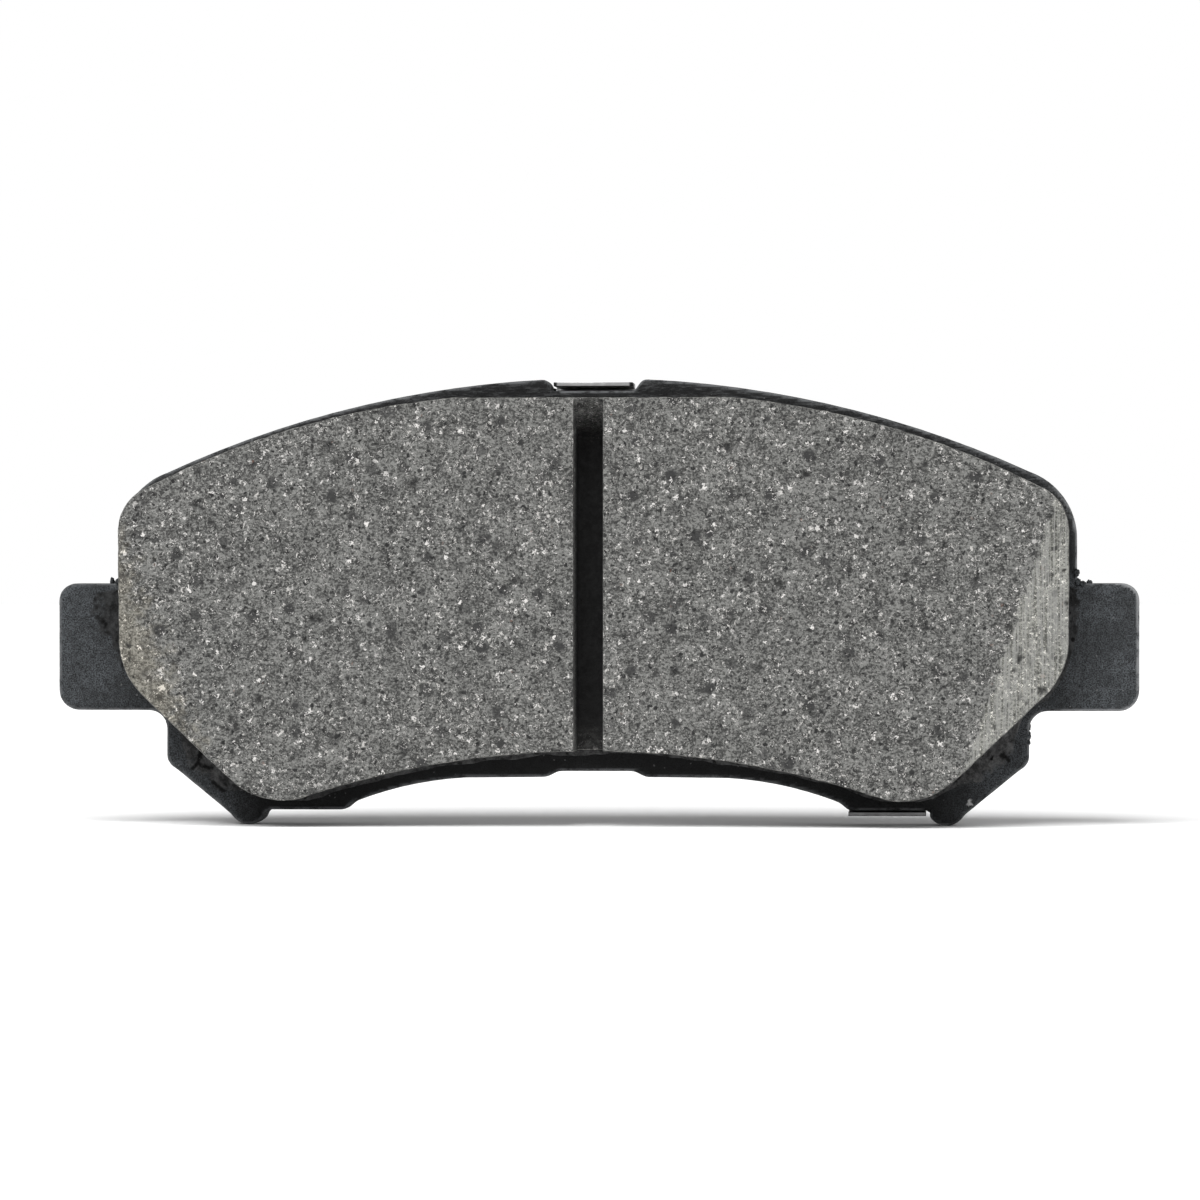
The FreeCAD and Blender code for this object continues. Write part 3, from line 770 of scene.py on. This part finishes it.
# ---------------------------------------------------------------- backing plate
def backing_plate(coat):
    """The stamped plate with its edges softened by tumbling and paint."""
    source = NODES["backing_plate"].data.copy()
    solid = bmesh.new()
    solid.from_mesh(source)
    bmesh.ops.remove_doubles(solid, verts=solid.verts, dist=WELD_DISTANCE)
    solid.to_mesh(source)
    surface = BVHTree.FromBMesh(solid)
    solid.free()
    rough = add_to_scene("plate_source", source)
    remesh = rough.modifiers.new("remesh", "REMESH")
    remesh.mode = "VOXEL"
    remesh.voxel_size = PLATE_VOXEL
    soften = rough.modifiers.new("soften", "SMOOTH")
    soften.factor = 0.5
    soften.iterations = 2
    evaluated = rough.evaluated_get(bpy.context.evaluated_depsgraph_get())
    mesh = bpy.data.meshes.new_from_object(evaluated)
    bpy.data.objects.remove(rough)
    mesh.name = "painted_plate"
    count = len(mesh.vertices)
    places = np.zeros(count * 3)
    directions = np.zeros(count * 3)
    mesh.vertices.foreach_get("co", places)
    mesh.vertices.foreach_get("normal", directions)
    places = places.reshape(-1, 3)
    directions = directions.reshape(-1, 3)
    lumps = np.array([fractal(x * 0.5, y * 0.5, z * 0.5, 3, 0.6) for x, y, z in places / MM])
    lumps *= 0.012 * MM
    # the plate keeps its stamped corners beside the cover's two tabs, with room for the paint
    across, up = places[:, 0], places[:, 2]
    beside_upper = (np.abs(across) < 8 * MM) & (up > 23.5 * MM)
    lower_corner = (LOWER_TAB[1] + 0.5) * MM
    beside_lower = (np.abs(across - lower_corner) < 2 * MM) & (up < -25 * MM)
    for i in np.nonzero(beside_upper | beside_lower)[0]:
        places[i] = surface.find_nearest(Vector(places[i]))[0]
        lumps[i] = -PAINT_CLEARANCE
    mesh.vertices.foreach_set("co", (places + directions * lumps[:, None]).ravel())
    mesh.shade_smooth()
    piece = add_to_scene("painted_plate", mesh)
    turned = 1 - np.abs(directions[:, 1])
    rounded = smooth_step(turned, 0.08, 0.40) * (1 - smooth_step(turned, 0.60, 0.92))
    float_attribute(piece, "edge", rounded)
    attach(piece, "pad")
    set_material(piece, coat)
    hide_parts("backing_plate")


def nearest_distance(points, outline):
    """Distance from each point to the nearest point of a dense outline."""
    return np.array([np.linalg.norm(outline - point, axis=1).min() for point in points])


# both ends of each crack in the resin, as x and z in millimetres
CRACKS = [((-52.2, -23.6), (-50.9, -22.2)), ((-50.9, -22.2), (-50.2, -20.3)),
          ((-50.9, -22.2), (-49.0, -22.7)), ((-48.9, -24.6), (-47.3, -25.8)),
          ((51.4, -20.8), (53.0, -22.1)), ((-63.0, -4.0), (-62.6, -4.5)),
          ((-62.7, -7.0), (-62.3, -7.3)), ((-64.5, -0.9), (-64.0, -1.3))]
# patches where the resin spreads: x, z, radius and extra width in millimetres
SPREADS = [(-61.0, -3.2, 6.2, 4.9), (-53.0, -17.5, 4.5, 3.2), (-49.5, -21.0, 5.5, 4.4),
           (49.0, -20.5, 4.5, 3.4), (54.0, -15.5, 3.0, 1.6), (60.0, -3.0, 5.0, 0.8)]


def line_distance(x, z, line):
    """Distance in the XZ plane from a point to a short straight line."""
    (ax, az), (bx, bz) = line
    length_squared = (bx - ax) ** 2 + (bz - az) ** 2
    t = min(1.0, max(0.0, ((x - ax) * (bx - ax) + (z - az) * (bz - az)) / length_squared))
    return math.hypot(x - ax - t * (bx - ax), z - az - t * (bz - az))


def flash_width(ring, room):
    """How far the flash spreads from the foot of the lining at each point of the ring."""
    narrowest = 0.15 * MM
    rim_clearance = 0.55 * MM
    width = np.zeros(len(ring))
    for m, (x, z) in enumerate(ring):
        reach = 0.35 + 0.35 * max(0.0, layer_noise(x, z, 0.22, 5.0, 3, 0.5) + 0.5)
        for patch_x, patch_z, radius, extra in SPREADS:
            away = math.hypot(x / MM - patch_x, z / MM - patch_z) / radius
            reach += extra * math.exp(-away ** 4) * (0.8 + 0.5 * layer_noise(x, z, 0.2, 11.0, 2, 0.4))
        width[m] = reach * MM
    return np.clip(width, narrowest, np.maximum(room - rim_clearance, narrowest))


def moulding_flash(coat):
    """Resin squeezed out round the foot of the lining, painted over with the plate.

    It spreads furthest on the left ear and on the two webs under the ears, where it is cracked.
    """
    ring = even_outline(outline_at("adhesive_film", FILM_FRONT_Y), 0.24 * MM)
    normals = outward_normals(ring)
    border = even_outline(outline_at("backing_plate", PLATE_LOW.y), 0.3 * MM)
    room = nearest_distance(ring, border)
    # beside the ears the flash runs straight out over the ear
    ear_top = 0.4 * MM
    ear_bottom = -11 * MM
    beside_ear = (ring[:, 1] < ear_top) & (ring[:, 1] > ear_bottom)
    on_ear = (np.abs(normals[:, 0]) > 0.9) & beside_ear
    ear_room = (0.8 + 6.0 * smooth_step(ear_top - ring[:, 1], 0.0, 1.2 * MM)) * MM
    width = flash_width(ring, np.where(on_ear, ear_room, room))
    wide = 1.2 * MM
    sunk = 0.02 * MM
    columns = 22
    vertices = []
    faces = []
    resin = []
    crack = []
    for k in range(columns + 1):
        t = k / columns
        for m, (x, z) in enumerate(ring):
            px = x + normals[m, 0] * width[m] * t
            pz = z + normals[m, 1] * width[m] * t
            lump = layer_noise(px, pz, 0.9, 21.0, 4, 0.65)
            pock = max(0.0, layer_noise(px, pz, 1.3, 57.0, 2, 0.5) - 0.28)
            fillet = math.exp(-width[m] * t / (0.35 * MM))
            film = 0.16 + 0.30 * lump + 0.35 * fillet - 0.8 * pock
            gap = min(line_distance(px / MM, pz / MM, line) for line in CRACKS)
            gap += 0.22 * layer_noise(px, pz, 2.0, 71.0, 2, 0.6)
            open_crack = 1 - float(smooth_step(gap, 0.14, 0.36))
            height = max(0.02, film * (1 - t ** 3) - 0.6 * open_crack) * MM
            fade = 1 - float(smooth_step(t + 0.3 * lump, 0.65, 1.0))
            resin.append(fade if width[m] > wide else 1.0)
            crack.append(open_crack)
            if k == columns:
                height = -sunk
            vertices.append((px, PLATE_FRONT_Y - height, pz))
    # closed underneath, just inside the plate's surface
    for x, z in ring:
        vertices.append((x, PLATE_FRONT_Y + 2 * sunk, z))
        resin.append(1.0)
        crack.append(0.0)
    rings = np.arange(len(vertices)).reshape(-1, len(ring)).tolist()
    for here, following in zip(rings, rings[1:] + rings[:1]):
        faces += strip(here, following)
    piece = make_object("moulding_flash", vertices, faces, "pad", 60.0)
    float_attribute(piece, "resin", resin)
    float_attribute(piece, "crack", crack)
    set_material(piece, coat)


def resin_crumbs(coat):
    """Crumbs of resin and paint in the inner corners of the ears and along the plate's edges.

    Each one has its x and z, its radius in millimetres and its height over its width.
    """
    ear_top = [(60.85, 1.0, 0.60, 1.0), (60.75, 2.1, 0.36, 1.6), (61.6, 0.75, 0.42, 0.8)]
    web = [(54.7, -17.4, 0.34, 1.5), (54.72, -18.4, 0.38, 1.4), (54.75, -19.3, 0.22, 1.8)]
    crumbs = ear_top + [(62.45, 0.85, 0.34, 1.1)] + web
    crumbs += [(-x, z, radius, tall) for x, z, radius, tall in ear_top]
    crumbs += [(-61.95, 1.0, 0.26, 2.2), (-54.8, -16.0, 0.40, 1.5), (-54.75, -16.9, 0.26, 1.6),
               (-53.0, -22.9, 0.24, 0.8), (-5.32, 25.42, 0.24, 0.9)]
    mesh = bpy.data.meshes.new("resin_crumbs")
    solid = bmesh.new()
    for number, (x, z, radius, tall) in enumerate(crumbs):
        made = bmesh.ops.create_icosphere(solid, subdivisions=3, radius=1.0)
        centre_y = PLATE_FRONT_Y / MM + 1.0 + 0.5 * math.sin(5.0 * number)
        for vertex in made["verts"]:
            way = vertex.co.copy()
            swell = radius * (1 + 0.5 * fractal(way.x + 9.1 * number, way.y, way.z, 3, 0.65))
            vertex.co = Vector((x + swell * way.x, centre_y + 2.0 * swell * way.y,
                                z + swell * tall * way.z)) * MM
    solid.to_mesh(mesh)
    solid.free()
    mesh.shade_smooth()
    piece = add_to_scene("resin_crumbs", mesh)
    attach(piece, "pad")
    set_material(piece, coat)


# ---------------------------------------------------------------- shim cover
def shim_cover():
    """The pressed stainless cover with its cut edges slightly broken."""
    mesh = NODES["shim_cover"].data.copy()
    solid = bmesh.new()
    solid.from_mesh(mesh)
    flat = math.radians(0.5)
    corner = math.radians(40)
    bmesh.ops.remove_doubles(solid, verts=solid.verts, dist=WELD_DISTANCE)
    bmesh.ops.dissolve_limit(solid, angle_limit=flat, verts=solid.verts, edges=solid.edges)
    sharp = [edge for edge in solid.edges
             if len(edge.link_faces) == 2 and edge.calc_face_angle() > corner]
    bmesh.ops.bevel(solid, geom=sharp, offset=COVER_EDGE, segments=2, profile=0.5, affect="EDGES")
    bmesh.ops.triangulate(solid, faces=solid.faces)
    solid.to_mesh(mesh)
    solid.free()
    # the bends and broken edges are smooth, and faces square to Y or Z stay flat
    square = 0.9999
    for polygon in mesh.polygons:
        polygon.use_smooth = max(abs(polygon.normal.y), abs(polygon.normal.z)) < square
    piece = add_to_scene("pressed_cover", mesh)
    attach(piece, "cover")
    set_material(piece, rolled_steel("cover_stainless", 0.52, 0.32, tabs_darkened=True))
    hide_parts("shim_cover")


# ---------------------------------------------------------------- stage
def stage():
    """A plain pale floor under broad soft lights, with a pale horizon all round."""
    low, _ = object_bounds()
    size = 30.0
    mesh = bpy.data.meshes.new("floor")
    corners = [(-size, -size), (size, -size), (size, size), (-size, size)]
    mesh.from_pydata([(x, y, low[2]) for x, y in corners], [], [(0, 1, 2, 3)])
    floor = add_to_scene("floor", mesh)
    pale = Paint("pale_floor")
    set_material(floor, pale.finish(base_color=grey(0.90), roughness=1.0, specular_ior_level=0.0))
    floor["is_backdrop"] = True
    studio_world()
    sun("key", azimuth=-20, elevation=48, strength=4.0, angle=45)
    sun("front_fill", azimuth=30, elevation=30, strength=1.3, angle=60)
    bpy.context.scene.view_settings.view_transform = "Standard"


def studio_world():
    """White from the horizon up to a few degrees above it, and dim overhead."""
    world = bpy.data.worlds.new("studio")
    bpy.context.scene.world = world
    world.use_nodes = True
    tree = world.node_tree
    background = tree.nodes["Background"]
    where = tree.nodes.new("ShaderNodeTexCoord")
    split = tree.nodes.new("ShaderNodeSeparateXYZ")
    tree.links.new(where.outputs["Generated"], split.inputs[0])
    fade = tree.nodes.new("ShaderNodeMapRange")
    fade.interpolation_type = "SMOOTHSTEP"
    tree.links.new(split.outputs["Z"], fade.inputs["Value"])
    bright_below = math.sin(math.radians(8))
    dim_above = math.sin(math.radians(16))
    limits = {"From Min": bright_below, "From Max": dim_above, "To Min": 1.0, "To Max": 0.25}
    for name, value in limits.items():
        fade.inputs[name].default_value = value
    tree.links.new(fade.outputs["Result"], background.inputs["Strength"])
    background.inputs["Color"].default_value = (1, 1, 1, 1)


def sun(name, azimuth, elevation, strength, angle):
    """A broad soft light; azimuth 0 shines from the camera's side and 90 from the right."""
    data = bpy.data.lights.new(name, "SUN")
    data.energy = strength
    data.angle = math.radians(angle)
    light = add_to_scene(name, data)
    turn = math.radians(azimuth)
    rise = math.radians(elevation)
    toward = Vector((math.sin(turn) * math.cos(rise), -math.cos(turn) * math.cos(rise), math.sin(rise)))
    light.rotation_euler = toward.to_track_quat("Z", "Y").to_euler()


def camera():
    """Square-on view of the friction face from slightly to its right."""
    azimuth = math.radians(3.4)
    distance = 0.70
    frame_width = 0.1523
    target = Vector((0.00052, PLATE_FRONT_Y, -0.0013))
    data = bpy.data.cameras.new("camera")
    data.sensor_width = 36.0
    data.lens = data.sensor_width * distance / frame_width
    eye = add_to_scene("camera", data)
    eye.location = target + Vector((math.sin(azimuth), -math.cos(azimuth), 0)) * distance
    eye.rotation_euler = (target - eye.location).to_track_quat("-Z", "Y").to_euler()
    bpy.context.scene.camera = eye


# ---------------------------------------------------------------- assembly
coat = powder_coat()
friction_lining()
underlayer()
backing_plate(coat)
moulding_flash(coat)
resin_crumbs(coat)
shim_cover()
brown = cured_adhesive("lining_adhesive", (0.02, 0.012, 0.01, 1), (0.05, 0.028, 0.02, 1))
set_material(NODES["adhesive_film"], brown)
amber = cured_adhesive("shim_adhesive", grey(0.05, 0.1), grey(0.12, 0.12))
set_material(NODES["shim_adhesive_film"], amber)
rubber = rubber_coat()
set_material(NODES["damping_shim_front_rubber"], rubber)
set_material(NODES["damping_shim_rear_rubber"], rubber)
set_material(NODES["damping_shim_core"], rolled_steel("shim_core_steel", 0.45, 0.4))
camera()
stage()
